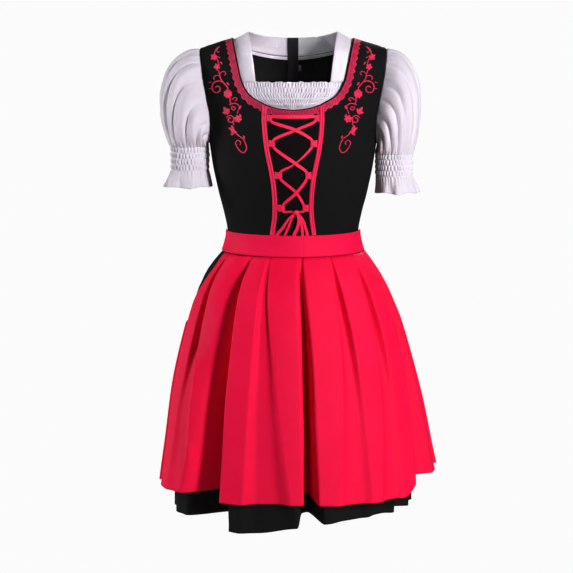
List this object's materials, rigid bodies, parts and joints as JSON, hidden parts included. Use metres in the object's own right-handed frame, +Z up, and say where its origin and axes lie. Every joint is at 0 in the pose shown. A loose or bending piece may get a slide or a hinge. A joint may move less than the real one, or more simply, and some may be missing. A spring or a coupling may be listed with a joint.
{
  "type": "dirndl dress with apron",
  "caption": "Short-sleeved folk dress with a laced front insert, gathered skirt, white blouse parts and a pleated apron tied at the back, filled out as if worn.",
  "frame": {"origin": "midway between the neck ends of the two shoulder seams, where the wearer carries the garment", "axes": "+Z up, -Y to the wearer's front, +X to the wearer's left"},
  "size_m": [0.5622, 0.4021, 0.9692],
  "materials": {
    "bodice_cloth": "matte",
    "insert_cloth": "satin",
    "skirt_cloth": "matte",
    "blouse_cloth": "matte",
    "label_tape": "matte",
    "apron_cloth": "satin",
    "lacing_ribbon": "satin",
    "lace": "matte",
    "binding_ribbon": "satin",
    "zip_tape": "matte",
    "zip_metal": "satin"
  },
  "bodies": {
    "garment": {"apron_band": "apron_cloth", "apron_skirt": "apron_cloth", "apron_tie_left": "apron_cloth", "apron_tie_right": "apron_cloth", "binding_left": "binding_ribbon", "binding_right": "binding_ribbon", "bodice_back_left": "bodice_cloth", "bodice_back_right": "bodice_cloth", "bodice_front_left": "bodice_cloth", "bodice_front_right": "bodice_cloth", "bodice_insert": "insert_cloth", "bow_knot": "apron_cloth", "bow_loop_left": "apron_cloth", "bow_loop_right": "apron_cloth", "bow_tail_left": "apron_cloth", "bow_tail_right": "apron_cloth", "label": "label_tape", "lace_loop_left_1": "binding_ribbon", "lace_loop_left_2": "binding_ribbon", "lace_loop_left_3": "binding_ribbon", "lace_loop_left_4": "binding_ribbon", "lace_loop_right_1": "binding_ribbon", "lace_loop_right_2": "binding_ribbon", "lace_loop_right_3": "binding_ribbon", "lace_loop_right_4": "binding_ribbon", "lace_trim": "lace", "lacing": "lacing_ribbon", "lacing_bow_left": "lacing_ribbon", "lacing_bow_middle": "lacing_ribbon", "lacing_bow_right": "lacing_ribbon", "lacing_end_left": "lacing_ribbon", "lacing_end_right": "lacing_ribbon", "lacing_knot": "lacing_ribbon", "neck_band_left": "blouse_cloth", "neck_band_right": "blouse_cloth", "shirred_front": "blouse_cloth", "skirt_back_left": "skirt_cloth", "skirt_back_right": "skirt_cloth", "skirt_front": "skirt_cloth", "sleeve_left": "blouse_cloth", "sleeve_right": "blouse_cloth", "zip_slider": "zip_metal", "zip_tape": "zip_tape", "zip_teeth": "zip_tape"},
    "zip_pull_tab": {"zip_pull": "zip_metal"}
  },
  "joints": [
    {"name": "zip_pull_hinge", "type": "hinge", "parent": "garment", "child": "zip_pull_tab", "pos_m": [0, 0.09935, -0.05515], "axis": [1, 0, 0], "range_deg": [0, 165]}
  ]
}
